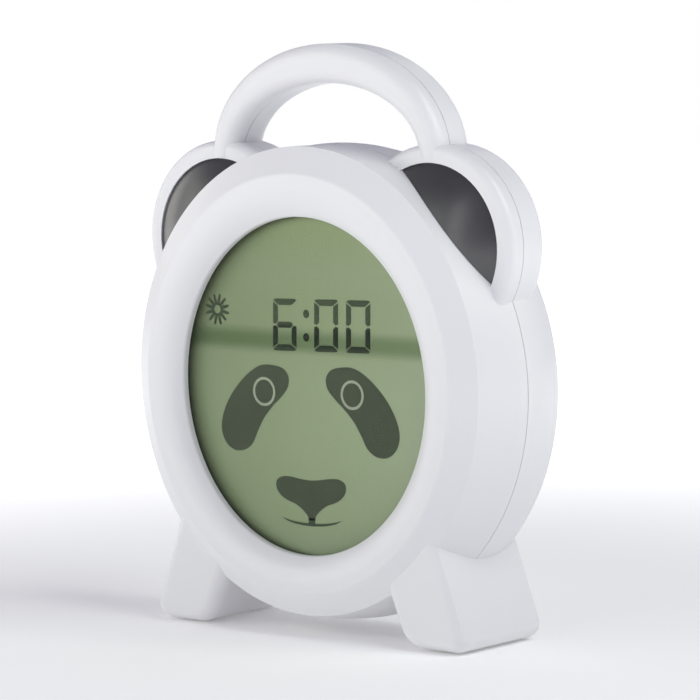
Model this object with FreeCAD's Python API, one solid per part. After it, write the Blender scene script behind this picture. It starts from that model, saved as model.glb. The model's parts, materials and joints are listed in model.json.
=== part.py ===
import FreeCAD, Part
import math
import os
from FreeCAD import Vector as V

# Children's alarm clock with a glowing face: a round drum on two splayed feet,
# with two round ears, a carrying arch on top and a tall oval display.
# Millimetres. X to the right as seen from the front, Y to the back, Z up.
# The model is laid out about the display centre (x, yb, z) and moved at export:
# yb is measured back from the plane of the window edge, z from the drum centre.

# ---------------------------------------------------------------- driving sizes
WALL = 2.4                 # moulded wall
SPLIT = 16.1               # parting plane of the two casings, back from the window
REAR = 37.4                # flat back face
PROUD = 1.5                # buttons stand this far behind the back face
WIN_X, WIN_Z = 48.1, 52.0  # window half width and half height
CREST_Y = -4.9             # most forward line of the ring
CREASE = (67.2, 72.05, 1.45, 0.0)     # ring's outer edge: half width, half height, centre height, depth
DRUM_R = 73.5              # drum radius at the parting plane
DRUM_MAX = 73.8
EAR_X, EAR_Z, EAR_R = 41.7, 43.5, 30.7
EAR_Y0, EAR_Y1 = 10.4, 27.4
INSERT_R = 25.1
INSERT_APEX, INSERT_K = 2.5, 0.01354  # domed front: yb = apex + k * rho^2
INSERT_T = 2.0
ARCH_OUT = (45.6, 34.1, 70.2)         # handle: half width, half height, centre height
ARCH_IN = (36.6, 22.8, 69.4)
ARCH_Y0, ARCH_Y1 = 10.0, 27.3
FOOT_Z = -76.9             # underside of the feet
FOOT_Y0, FOOT_Y1 = -1.8, 37.7
PAD_PROUD = 0.4
BTN_R, BTN_HOLE, BTN_TRAVEL = 5.0, 5.3, 0.8
BTN_Z = 12.0
BTN_X = {"clock_set_button": -24.0, "wake_set_button": -8.0, "minus_button": 8.0, "plus_button": 24.0, "light_button": 40.0}
SW_X, SW_TRAVEL = -43.0, 4.0
DOOR_X = 33.2              # battery door half width
HINGE_Y, HINGE_Z = 35.4, -52.0
DOOR_TOP = 1.2
CELL_R, CELL_L = 7.2, 50.5
CELL_Z = (-13.0, -28.0, -43.0)
CELL_Y = 27.75

# moved at export so that the base centre of the whole clock is the origin
Y_OFF = -(CREST_Y + REAR + PROUD) / 2.0
Z_OFF = -FOOT_Z + PAD_PROUD

os.makedirs("parts", exist_ok=True)


# ---------------------------------------------------------------- helpers
def fuse(*shapes):
    out = shapes[0]
    rest = [s for s in shapes[1:]]
    return out.multiFuse(rest).removeSplitter() if rest else out


def join(a, *tools):
    """Union that keeps every face as it is."""
    return a.multiFuse(list(tools))


def cut(a, *tools):
    return a.cut(list(tools)) if len(tools) > 1 else a.cut(tools[0])


def box(x0, x1, y0, y1, z0, z1):
    return Part.makeBox(x1 - x0, y1 - y0, z1 - z0, V(x0, y0, z0))


def cyl_y(r, y0, y1, x=0.0, z=0.0):
    return Part.makeCylinder(r, y1 - y0, V(x, y0, z), V(0, 1, 0))


def cyl_x(r, x0, x1, y=0.0, z=0.0):
    return Part.makeCylinder(r, x1 - x0, V(x0, y, z), V(1, 0, 0))


def ellipse_wire(xs, zs, zc, y):
    c = V(0, y, zc)
    if zs >= xs:
        e = Part.Ellipse(V(0, y, zc + zs), V(xs, y, zc), c)
    else:
        e = Part.Ellipse(V(xs, y, zc), V(0, y, zc + zs), c)
    return Part.Wire([e.toShape()])


def ellipse_prism(xs, zs, zc, y0, y1):
    return Part.Face(ellipse_wire(xs, zs, zc, y0)).extrude(V(0, y1 - y0, 0))


def loft_faces(stations):
    """Side surface through ellipses given as (half width, half height, centre height, depth)."""
    sh = Part.makeLoft([ellipse_wire(*s) for s in stations], False, len(stations) == 2)
    return sh.Faces


def closed(segments):
    """Solid from side surfaces in a row and two flat caps."""
    faces = []
    for seg in segments:
        faces += loft_faces(seg)
    faces.append(Part.Face(ellipse_wire(*segments[0][0])))
    faces.append(Part.Face(ellipse_wire(*segments[-1][-1])))
    shell = Part.makeShell(faces)
    shell.sewShape()
    sol = Part.makeSolid(Part.Shell(shell.Faces) if shell.ShapeType != "Shell" else shell)
    if sol.Volume < 0:
        sol.reverse()
    return sol


def revolve_y(points, x=0.0, z=0.0):
    """Solid of revolution about the depth axis from (radius, depth) points; a 4-tuple starts an arc via a point."""
    edges, last = [], None
    for p in points + [points[0]]:
        if last is not None:
            a, b = V(last[0], last[1], 0), V(p[0], p[1], 0)
            if len(p) == 4 and a.distanceToPoint(b) > 1e-7:
                edges.append(Part.Arc(a, V(p[2], p[3], 0), b).toShape())
            elif a.distanceToPoint(b) > 1e-7:
                edges.append(Part.LineSegment(a, b).toShape())
        last = p
    f = Part.Face(Part.Wire(edges))
    s = f.revolve(V(0, 0, 0), V(0, 1, 0), 360)
    s.translate(V(x, 0, z))
    return s if s.Volume > 0 else s.reversed()


def rounded_box(x0, x1, y0, y1, z0, z1, r, along="y"):
    b = box(x0, x1, y0, y1, z0, z1)
    axis = {"x": 0, "y": 1, "z": 2}[along]
    es = []
    for e in b.Edges:
        d = e.Vertexes[1].Point - e.Vertexes[0].Point
        comp = [abs(d.x), abs(d.y), abs(d.z)]
        if comp[axis] > 1e-6 and sum(comp) - comp[axis] < 1e-6:
            es.append(e)
    return b.makeFillet(r, es)


def mirror_x(s):
    return s.mirror(V(0, 0, 0), V(1, 0, 0))


def lerp(a, b, t):
    return a + (b - a) * t


# ---------------------------------------------------------------- ring and drum skin
def ring_station(r, y):
    """Ellipse of the ring whose half height is r: its proportion and centre drift slightly outwards."""
    t = (r - WIN_Z) / (CREASE[1] - WIN_Z)
    q = lerp(WIN_X / WIN_Z, CREASE[0] / CREASE[1], t)
    return (q * r, r, CREASE[2] * max(t, 0.0), y)


def ring_profile():
    """Side surfaces of the ring from the window edge out to the crease."""
    r_flat = 61.3                       # inner edge of the narrow flat crest
    beta = math.radians(44.0)
    edge_r = 1.2
    big = (r_flat - WIN_Z - edge_r * (1 - math.sin(beta))) / math.sin(beta)
    y_edge = CREST_Y + big * (1 - math.cos(beta)) + edge_r * math.cos(beta)
    lip, slope = [], []
    cx, cy = WIN_Z + edge_r, y_edge     # small rounding of the window edge
    for i in range(5):
        a = math.pi / 2 - (math.pi / 2 - beta) * i / 4
        lip.append(ring_station(cx - edge_r * math.sin(a), cy - edge_r * math.cos(a)))
    for i in range(7):                  # long soft slope up to the crest
        a = beta * (1 - i / 6)
        slope.append(ring_station(r_flat - big * math.sin(a), CREST_Y + big * (1 - math.cos(a))))
    slope[0] = lip[-1]
    flat_out = 63.9
    flat = [slope[-1], ring_station(flat_out, CREST_Y + 0.06)]
    gamma = math.radians(32.0)
    rr = 1.6                            # tight rounding that carries the thin highlight
    knee = []
    for i in range(5):
        a = math.radians(3.0) + (gamma - math.radians(3.0)) * i / 4
        knee.append(ring_station(flat_out + rr * (math.sin(a) - math.sin(math.radians(3.0))),
                                 CREST_Y + 0.06 + rr * (math.cos(math.radians(3.0)) - math.cos(a))))
    knee[0] = flat[-1]
    bevel = [knee[-1], CREASE]
    return [lip, slope, flat, knee, bevel], y_edge


def drum_station(y):
    """Front half of the drum: oval at the crease, round at the parting plane."""
    pts = [(CREASE[3], CREASE[0]), (6.0, 69.75), (10.0, 71.4), (13.2, 72.65), (SPLIT, DRUM_R)]
    for (a, xa), (b, xb) in zip(pts, pts[1:]):
        if a - 1e-9 <= y <= b + 1e-9:
            xs = lerp(xa, xb, (y - a) / (b - a))
    t = (y - CREASE[3]) / (SPLIT - CREASE[3])
    zs = lerp(CREASE[1], DRUM_R, t ** 0.8 if t > 0 else 0)
    return (xs, zs, CREASE[2] * (1 - t) ** 1.3 if t < 1 else 0.0, y)


ring_segs, WIN_EDGE_Y = ring_profile()
drum_seg = [CREASE] + [drum_station(y) for y in (6.0, 10.0, 13.2, SPLIT)]
front_skin = closed(ring_segs + [drum_seg])


def spline_revolve(points, arc_to, arc_mid, y_end, y_start):
    """Revolved body with a smooth side, a rounded rear edge and a flat back."""
    bs = Part.BSplineCurve()
    bs.interpolate([V(p[0], p[1], 0) for p in points])
    side = bs.toShape()
    p_last = points[-1]
    arc = Part.Arc(V(p_last[0], p_last[1], 0), V(arc_mid[0], arc_mid[1], 0), V(arc_to[0], arc_to[1], 0)).toShape()
    bottom = Part.LineSegment(V(0, y_start, 0), V(points[0][0], points[0][1], 0)).toShape()
    back = Part.LineSegment(V(arc_to[0], arc_to[1], 0), V(0, y_end, 0)).toShape()
    axis = Part.LineSegment(V(0, y_end, 0), V(0, y_start, 0)).toShape()
    f = Part.Face(Part.Wire([bottom, side, arc, back, axis]))
    s = f.revolve(V(0, 0, 0), V(0, 1, 0), 360)
    return s if s.Volume > 0 else s.reversed()


side_pts = [(DRUM_R, SPLIT), (DRUM_MAX, 20.5), (73.6, 24.5), (73.1, 28.0), (72.5, 30.4)]
c45 = math.cos(math.radians(45))
rear_skin = spline_revolve(side_pts, (65.4, REAR), (65.4 + 7.1 * c45, 30.4 + 7.0 * c45), REAR, SPLIT)
inner_pts = [(r - WALL, y) for r, y in side_pts]
rear_hollow = spline_revolve(inner_pts, (64.4, REAR - WALL), (64.4 + 5.7 * c45, 30.4 + 4.6 * c45), REAR - WALL, SPLIT)

# ---------------------------------------------------------------- ears
def ear_blank(side):
    c = cyl_y(EAR_R, EAR_Y0, EAR_Y1, side * EAR_X, EAR_Z)
    es = [e for e in c.Edges if isinstance(e.Curve, Part.Circle)]
    front = [e for e in es if abs(e.Curve.Center.y - EAR_Y0) < 1e-6]
    back = [e for e in es if abs(e.Curve.Center.y - EAR_Y1) < 1e-6]
    c = c.makeFillet(2.6, front)
    back = [e for e in c.Edges if isinstance(e.Curve, Part.Circle) and abs(e.Curve.Center.y - EAR_Y1) < 1e-6]
    return c.makeFillet(3.0, back)


def dome(side, r, offset, y_back):
    """Body behind the domed ear front moved back by offset, out to radius r about the ear's axis."""
    n = 8
    pts = [V(r * i / n, INSERT_APEX + offset + INSERT_K * (r * i / n) ** 2, 0) for i in range(n + 1)]
    bs = Part.BSplineCurve()
    bs.interpolate(pts)
    wire = Part.Wire([bs.toShape(),
                      Part.LineSegment(pts[-1], V(r, y_back, 0)).toShape(),
                      Part.LineSegment(V(r, y_back, 0), V(0, y_back, 0)).toShape(),
                      Part.LineSegment(V(0, y_back, 0), pts[0]).toShape()])
    s = Part.Face(wire).revolve(V(0, 0, 0), V(0, 1, 0), 360)
    s.translate(V(side * EAR_X, 0, EAR_Z))
    return s if s.Volume > 0 else s.reversed()


def ear_front(side):
    e = ear_blank(side)
    e = cut(e, cyl_y(INSERT_R + 0.12, 0, INSERT_APEX + INSERT_T + 0.1 + INSERT_K * (INSERT_R + 0.12) ** 2, side * EAR_X, EAR_Z))
    core = dome(side, INSERT_R + 0.12, INSERT_T + 0.1, SPLIT)
    return fuse(e, core)


# ---------------------------------------------------------------- handle
def arch(out, inn, y0, y1, fillet, z_cut):
    def half(xs, zs, zc):
        e = Part.Ellipse(V(xs, y0, zc), V(0, y0, zc + zs), V(0, y0, zc)) if xs >= zs else Part.Ellipse(V(0, y0, zc + zs), V(xs, y0, zc), V(0, y0, zc))
        full = Part.Face(Part.Wire([e.toShape()])).extrude(V(0, y1 - y0, 0))
        return full.common(box(-80, 80, y0 - 1, y1 + 1, zc, 130)), box(-xs, xs, y0, y1, 40, zc)
    ho, bo = half(*out)
    hi, bi = half(*inn)
    band = fuse(ho, bo).cut(fuse(hi, bi))
    if fillet:
        es = []
        for e in band.Edges:
            ys = [v.Point.y for v in e.Vertexes]
            zs = [v.Point.z for v in e.Vertexes]
            if all(abs(y - y0) < 1e-6 for y in ys) or all(abs(y - y1) < 1e-6 for y in ys):
                if max(zs) > 41:
                    es.append(e)
        band = band.makeFillet(fillet, es)
    return band.common(box(-80, 80, y0 - 1, y1 + 1, z_cut, 130))


handle = arch(ARCH_OUT, ARCH_IN, ARCH_Y0, ARCH_Y1, 4.1, 69.0)
handle_hollow = arch((ARCH_OUT[0] - 2.3, ARCH_OUT[1] - 2.3, ARCH_OUT[2]), (ARCH_IN[0] + 2.3, ARCH_IN[1] + 2.3, ARCH_IN[2]),
                     ARCH_Y0 + 2.3, ARCH_Y1 - 2.3, 0, 74.5)

front_half = box(-100, 100, -20, SPLIT, -100, 130)
rear_half = box(-100, 100, SPLIT, 60, -100, 130)

# ---------------------------------------------------------------- front casing
ears_f = [ear_front(s).common(front_half) for s in (-1, 1)]
ears_r = [ear_blank(s).common(rear_half) for s in (-1, 1)]
outer_front = fuse(front_skin, ears_f[0], ears_f[1], handle.common(front_half))
outer_rear = fuse(rear_skin, ears_r[0], ears_r[1], handle.common(rear_half))

LCD_X, LCD_Z, LCD_SUM = 49.5, 53.0, 76.0


def octagon(hx, hz, s, y0, y1):
    p = [(hx, s - hx), (s - hz, hz), (-(s - hz), hz), (-hx, s - hx), (-hx, -(s - hx)), (-(s - hz), -hz), (s - hz, -hz), (hx, -(s - hx))]
    pts = [V(x, y0, z) for x, z in p]
    return Part.Face(Part.makePolygon(pts + [pts[0]])).extrude(V(0, y1 - y0, 0))


LENS_Y = 0.95
LENS_T = 1.0
LCD_Y = 2.0
LCD_T = 2.7
front_hollow = closed([[(65.4, 70.0, 1.0, 4.6), (68.6, 70.3, 0.7, 10.0), (DRUM_R - WALL, DRUM_R - WALL, 0.0, SPLIT)]])
window_cut = ellipse_prism(WIN_X, WIN_Z, 0, -10, 10)
lens_seat = ellipse_prism(51.9, 55.8, 0, LENS_Y, 10)
lcd_seat = octagon(LCD_X + 0.25, LCD_Z + 0.25, LCD_SUM + 0.3, LCD_Y - 0.02, 10)
groove = cut(ellipse_prism(61.4, 66.0, 0.6, -0.6, 10), ellipse_prism(57.6, 61.2, 0.4, -0.7, 10.1))


def ear_hollow(side, y0, y1):
    h = cyl_y(EAR_R - 2.3, y0, y1, side * EAR_X, EAR_Z)
    if y0 < SPLIT:
        h = dome(side, EAR_R - 2.3, INSERT_T + 2.0, SPLIT)
        h = fuse(h.common(cyl_y(EAR_R - 2.3, 13.0, SPLIT, side * EAR_X, EAR_Z)), h.common(cyl_y(INSERT_R - 2.0, -5, 13.0, side * EAR_X, EAR_Z)))
    return cut(h, cyl_y(DRUM_MAX + 1.2, -20, 60))


front_casing = cut(outer_front, window_cut, lens_seat, lcd_seat, groove, front_hollow,
                   ear_hollow(-1, 12, SPLIT), ear_hollow(1, 12, SPLIT), handle_hollow)

# screw posts that the rear screws reach, and posts for the display frame
CASE_SCREWS = [(56.5, 20.0), (-56.5, 20.0), (49.5, -38.5), (-49.5, -38.5), (0.0, 60.0)]
FRAME_SCREWS = [(53.5, 0.0), (-53.5, 0.0), (37.5, 44.5), (-37.5, 44.5), (37.5, -44.5), (-37.5, -44.5)]
front_casing = join(front_casing, *([cyl_y(3.5, 3.4, SPLIT - 0.1, x, z) for x, z in CASE_SCREWS] + [cyl_y(2.6, 3.4, 8.2, x, z) for x, z in FRAME_SCREWS]))
front_casing = cut(front_casing, *[cyl_y(1.2, 5.0, 20, x, z) for x, z in CASE_SCREWS])
front_casing = cut(front_casing, *[cyl_y(1.04, 4.2, 9, x, z) for x, z in FRAME_SCREWS])

# ear inserts: domed gloss pieces with two pegs each through the ear's front wall
PEG = [(math.radians(20), 17.0), (math.radians(72), 17.0)]


def ear_insert(side):
    n = cut(dome(side, INSERT_R, 0.0, 13.6), dome(side, INSERT_R + 5, INSERT_T, 20))
    n = cut(n, grown_front)
    rim = [e for e in n.Edges if isinstance(e.Curve, Part.Circle) and abs(e.Curve.Radius - INSERT_R) < 1e-4 and e.Vertexes[0].Point.y < 11.2]
    try:
        m = n.makeFillet(0.35, rim)
        if m.isValid() and m.Volume > 0:
            n = m
    except Exception:
        print("insert rim left sharp", side)
    pegs = []
    for a, rho in PEG:
        y = INSERT_APEX + INSERT_T + INSERT_K * rho ** 2
        pegs.append(cyl_y(1.3, y - 0.6, y + 3.2, side * (EAR_X + rho * math.cos(a)), EAR_Z + rho * math.sin(a)))
    return fuse(n, *pegs)


peg_holes = [cyl_y(1.38, 0, SPLIT - 0.5, s * (EAR_X + rho * math.cos(a)), EAR_Z + rho * math.sin(a)) for s in (-1, 1) for a, rho in PEG]
front_casing = cut(front_casing, *peg_holes)
grown = [[tuple([s[0] + 0.12, s[1] + 0.12, s[2], s[3] - (0.12 if i == 0 else 0)]) for i, s in enumerate(drum_seg)]]
grown_front = fuse(closed(grown), cyl_y(DRUM_R + 0.12, SPLIT - 0.5, 20))
left_ear_insert = ear_insert(-1)
right_ear_insert = ear_insert(1)

# ---------------------------------------------------------------- rear casing
rear_casing = cut(outer_rear, rear_hollow, ear_hollow(-1, SPLIT, EAR_Y1 - 2.4), ear_hollow(1, SPLIT, EAR_Y1 - 2.4), handle_hollow)
BAY_X, BAY_Z0, BAY_Z1, BAY_Y = 31.5, -51.0, -5.0, 20.3
rear_casing = fuse(rear_casing, box(-BAY_X - 1.5, BAY_X + 1.5, BAY_Y - 1.5, REAR - 1, BAY_Z0 - 1.5, BAY_Z1 + 1.5))
rear_casing = cut(rear_casing, box(-BAY_X, BAY_X, BAY_Y, REAR + 1, BAY_Z0, BAY_Z1))
rear_casing = fuse(rear_casing, box(DOOR_X - 0.7, DOOR_X + 4.3, 32.6, REAR - 1.0, HINGE_Z - 3.4, HINGE_Z + 2.6),
                   box(-DOOR_X - 4.3, -DOOR_X + 0.7, 32.6, REAR - 1.0, HINGE_Z - 3.4, HINGE_Z + 2.6),
                   box(-9, 9, REAR - 4.2, REAR - 1.0, BAY_Z1, 5.3),
                   box(-DOOR_X - 1.5, DOOR_X + 1.5, REAR - 3.8, REAR - 1.0, HINGE_Z - 3.8, HINGE_Z + 1.0))
# door rebate, its rounded hinge side, the hinge bores and the finger notch
rebate = box(-DOOR_X - 0.3, DOOR_X + 0.3, HINGE_Y - 0.2, REAR + 1, HINGE_Z - 2.55, DOOR_TOP + 0.3)
rebate = fuse(rebate, cyl_x(2.3, -DOOR_X - 0.3, DOOR_X + 0.3, HINGE_Y, HINGE_Z))
notch = Part.makeSphere(9.0, V(0, REAR + 6.6, DOOR_TOP + 0.8))
rear_casing = cut(rear_casing, rebate, notch, cyl_x(1.06, -DOOR_X - 2.6, DOOR_X + 2.6, HINGE_Y, HINGE_Z))

door = box(-DOOR_X, DOOR_X, HINGE_Y, REAR, HINGE_Z, DOOR_TOP)
corner = [e for e in door.Edges if abs(e.Vertexes[0].Point.z - DOOR_TOP) < 1e-6 and abs(e.Vertexes[1].Point.z - DOOR_TOP) < 1e-6
          and abs(e.Vertexes[0].Point.x - e.Vertexes[1].Point.x) < 1e-6]
door = door.makeFillet(0.8, corner)
door = fuse(door, cyl_x(2.0, -DOOR_X, DOOR_X, HINGE_Y, HINGE_Z))
door = cut(door, box(-DOOR_X - 1, DOOR_X + 1, HINGE_Y - 3, HINGE_Y, HINGE_Z + 1.2, HINGE_Z + 3))
door = fuse(door, cyl_x(1.0, -DOOR_X - 2.2, DOOR_X + 2.2, HINGE_Y, HINGE_Z))
door = cut(door, *[box(-7.0, 7.0, REAR - 0.6, REAR + 1, z - 0.5, z + 0.5) for z in (-8.6, -6.4, -4.2)])
door = cut(door, Part.makeSphere(9.0, V(0, REAR + 7.6, DOOR_TOP + 0.8)))
battery_door = door
door_foam = box(-24, 24, HINGE_Y - 0.22, HINGE_Y, -47.0, -9.0)

# buttons, slider slot, socket and sound holes through the back wall
rear_casing = cut(rear_casing, *[cyl_y(BTN_HOLE, 30, REAR + 1, x, BTN_Z) for x in BTN_X.values()])
for x in BTN_X.values():          # shallow dished ring round each button
    cone = Part.makeCone(BTN_HOLE - 0.2, BTN_HOLE + 1.0, 1.2, V(x, REAR - 0.8, BTN_Z), V(0, 1, 0))
    rear_casing = cut(rear_casing, cone)
SLOT = rounded_box(SW_X - 1.7, SW_X + SW_TRAVEL + 1.7, 30, REAR + 1, BTN_Z - 1.7, BTN_Z + 1.7, 1.65)
SLOT_DISH = rounded_box(SW_X - 4.6, SW_X + SW_TRAVEL + 4.6, REAR - 0.9, REAR + 1, BTN_Z - 3.6, BTN_Z + 3.6, 3.5)
rear_casing = cut(rear_casing, SLOT, SLOT_DISH)
SOCK_X, SOCK_Z = 47.0, -14.0
rear_casing = cut(rear_casing, rounded_box(SOCK_X - 4.75, SOCK_X + 4.75, 30, REAR + 1, SOCK_Z - 1.9, SOCK_Z + 1.9, 1.85),
                  rounded_box(SOCK_X - 6.6, SOCK_X + 6.6, REAR - 1.0, REAR + 1, SOCK_Z - 3.7, SOCK_Z + 3.7, 3.6))
SPK_Z, SPK_R = 37.0, 17.0
holes = [cyl_y(1.1, 30, REAR + 1, 0, SPK_Z)]
for k, count in ((1, 6), (2, 12), (3, 18)):
    for i in range(count):
        a = 2 * math.pi * i / count + (0.26 if k == 2 else 0)
        holes.append(cyl_y(1.1, 30, REAR + 1, 4.0 * k * math.cos(a), SPK_Z + 4.0 * k * math.sin(a)))
rear_casing = cut(rear_casing, Part.makeCompound(holes))
# posts: case screws, key board, sound unit
for x, z in CASE_SCREWS:
    rear_casing = fuse(rear_casing, cyl_y(3.5, SPLIT, REAR - 1, x, z))
KEY_POSTS = [(-33.0, BTN_Z), (32.0, BTN_Z)]
for x, z in KEY_POSTS:
    rear_casing = fuse(rear_casing, cyl_y(1.9, 27.2, REAR - 1, x, z))
SPK_POSTS = [(-21.0, SPK_Z), (21.0, SPK_Z)]
for x, z in SPK_POSTS:
    rear_casing = fuse(rear_casing, cyl_y(2.4, 30.6, REAR - 1, x, z))
spk_wall = cut(cyl_y(SPK_R + 1.5, REAR - 4.5, REAR - 1, 0, SPK_Z), cyl_y(SPK_R + 0.3, REAR - 6, REAR - WALL, 0, SPK_Z))
spk_wall = cut(spk_wall, cyl_y(14.0, REAR - 6, REAR, 0, SPK_Z))
rear_casing = fuse(rear_casing, spk_wall)
POW_POSTS = [(SOCK_X - 9.0, SOCK_Z), (SOCK_X + 9.0, SOCK_Z)]
for x, z in POW_POSTS:
    rear_casing = fuse(rear_casing, box(x - 1.8, x + 1.8, 31.0, REAR - 1, z - 2.4, z + 2.4))
rear_casing = cut(rear_casing,
                  *[cyl_y(1.7, SPLIT - 1, REAR - 4.0, x, z) for x, z in CASE_SCREWS],
                  *[cyl_y(3.1, REAR - 9.0, REAR + 1, x, z) for x, z in CASE_SCREWS],
                  *[cyl_y(0.95, 27, 33, x, z) for x, z in KEY_POSTS],
                  *[cyl_y(0.95, 30, 35, x, z) for x, z in SPK_POSTS],
                  *[cyl_y(0.8, 30, 35, x, z) for x, z in POW_POSTS])

# thin reveal line round the parting plane, taken from the rear casing's outer edge
def outline_prism(d, y0, y1):
    """The clock's outline at the parting plane, brought in by d, without the hand opening."""
    body = cyl_y(DRUM_R - d, y0, y1)
    e = [cyl_y(EAR_R - d, y0, y1, sx * EAR_X, EAR_Z) for sx in (-1, 1)]
    a = arch((ARCH_OUT[0] - d, ARCH_OUT[1] - d, ARCH_OUT[2]), (ARCH_IN[0] + d, ARCH_IN[1] + d, ARCH_IN[2]), y0, y1, 0, 66.0)
    return body.multiFuse(e + [a])


reveal = outline_prism(-1.2, SPLIT - 0.02, SPLIT + 0.26).cut(outline_prism(0.5, SPLIT - 1, SPLIT + 1))
grooved = rear_casing.cut(reveal)
if grooved.isValid() and len(grooved.Solids) == 1:
    rear_casing = grooved
else:
    print("reveal line not cut", grooved.isValid(), len(grooved.Solids))

# ---------------------------------------------------------------- feet
FOOT_OUT_TOP, FOOT_OUT_BOT = (48.1, -36.0), (62.9, FOOT_Z)
FOOT_IN_TOP, FOOT_IN_BOT = (27.9, -50.0), (38.8, FOOT_Z)
FRONT_R, OVER = 4.6, 1.15   # front rounding, cut off by the outer side before it turns all the way


def foot_prism(inset, y0, y1, over=0.0):
    def shift(p, q, d):
        n = V(q[1] - p[1], 0, -(q[0] - p[0]))
        n.normalize()
        return (p[0] + n.x * d, p[1] + n.z * d), (q[0] + n.x * d, q[1] + n.z * d)
    a, b = shift(FOOT_OUT_TOP, FOOT_OUT_BOT, inset - over)
    d, c = shift(FOOT_IN_TOP, FOOT_IN_BOT, -inset)
    zb = FOOT_Z + inset
    b = (a[0] + (b[0] - a[0]) * (zb - a[1]) / (b[1] - a[1]), zb)
    c = (d[0] + (c[0] - d[0]) * (zb - d[1]) / (c[1] - d[1]), zb)
    pts = [V(p[0], y0, p[1]) for p in (a, b, c, d)]
    return Part.Face(Part.makePolygon(pts + [pts[0]])).extrude(V(0, y1 - y0, 0)), b, c


def edges_near(shape, test):
    return [e for e in shape.Edges if test([v.Point for v in e.Vertexes])]


def foot_blank():
    f, b, c = foot_prism(0.0, FOOT_Y0, FOOT_Y1, OVER)
    inner = edges_near(f, lambda p: len(p) == 2 and all(abs(q.z - c[1]) < 1e-6 and abs(q.x - c[0]) < 1e-6 for q in p))
    f = f.makeFillet(9.5, inner)
    outer = edges_near(f, lambda p: len(p) == 2 and all(abs(q.z - b[1]) < 1e-6 and abs(q.x - b[0]) < 1e-6 for q in p))
    f = f.makeFillet(5.2, outer)

    def face_edges(y):
        """Edges round the face at depth y, without the hidden top one."""
        return [e for e in f.Edges if len(e.Vertexes) == 2 and all(abs(v.Point.y - y) < 1e-6 for v in e.Vertexes)
                and not (all(v.Point.z > -55 for v in e.Vertexes) and abs(e.Vertexes[0].Point.x - e.Vertexes[1].Point.x) > 15)]
    f = f.makeFillet(FRONT_R, face_edges(FOOT_Y0))
    f = f.makeFillet(2.0, face_edges(FOOT_Y1))
    # the outer side is flat and meets the front rounding in a crisp edge
    dx = (FOOT_OUT_BOT[0] - FOOT_OUT_TOP[0]) / (FOOT_OUT_BOT[1] - FOOT_OUT_TOP[1])
    hi, lo = FOOT_OUT_TOP[1] + 12.0, FOOT_Z - 12.0
    pts = [V(FOOT_OUT_TOP[0] + dx * (z - FOOT_OUT_TOP[1]) + k, -20, z) for z, k in ((hi, 0), (lo, 0), (lo, 40), (hi, 40))]
    f = f.cut(Part.Face(Part.makePolygon(pts + [pts[0]])).extrude(V(0, 80, 0)))
    low = [e for e in f.Edges if len(e.Vertexes) == 2 and all(v.Point.z < FOOT_Z + 7 and v.Point.x > 58 for v in e.Vertexes)
           and abs(e.Vertexes[0].Point.y - e.Vertexes[1].Point.y) > 20]
    try:
        g = f.makeFillet(1.6, low)
        if g.isValid() and len(low):
            f = g
    except Exception:
        print("foot: lower outer edge left crisp", len(low))
    return f


whole_skin = fuse(front_skin, rear_skin)
rf = cut(foot_blank(), whole_skin)
rf = max(rf.Solids, key=lambda s: s.Volume)
inner_foot, _, _ = foot_prism(2.3, FOOT_Y0 + 2.3, FOOT_Y1 - 2.3)
FOOT_A = math.radians(-53.5)
FOOT_SCREW_Y = (10.0, 26.5)
boss = []
for y in FOOT_SCREW_Y:
    boss.append(Part.makeCylinder(3.0, 12.0, V(71.0 * math.cos(FOOT_A), y, 71.0 * math.sin(FOOT_A)), V(math.cos(FOOT_A), 0, math.sin(FOOT_A))))
hollow = cut(inner_foot, *boss)
rf = cut(rf, hollow)
rf = max(rf.Solids, key=lambda s: s.Volume)
pad_at = [(50.6, 9.0), (50.6, 28.9)]
rf = cut(rf, *[Part.makeCylinder(4.6, 1.1, V(x, y, FOOT_Z - 0.1), V(0, 0, 1)) for x, y in pad_at])
bores = [Part.makeCylinder(0.95, 12.0, V(70.0 * math.cos(FOOT_A), y, 70.0 * math.sin(FOOT_A)), V(math.cos(FOOT_A), 0, math.sin(FOOT_A))) for y in FOOT_SCREW_Y]
rf = cut(rf, *bores)
# the thin rear lip stops short of the battery door, whose hinge end turns past it
rf = cut(rf, box(24.0, DOOR_X + 0.8, FOOT_Y1 - 0.9, FOOT_Y1 + 1, -56.2, -44.0))
rf = max(rf.Solids, key=lambda s: s.Volume)
right_foot = rf
left_foot = mirror_x(rf)


def pad(x, y):
    p = Part.makeCylinder(4.5, 0.9 + PAD_PROUD, V(x, y, FOOT_Z - PAD_PROUD), V(0, 0, 1))
    e = [k for k in p.Edges if isinstance(k.Curve, Part.Circle) and abs(k.Curve.Center.z - (FOOT_Z - PAD_PROUD)) < 1e-6]
    return p.makeFillet(0.3, e)


foot_pads = [pad(s * x, y) for s in (-1, 1) for x, y in pad_at]


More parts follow.
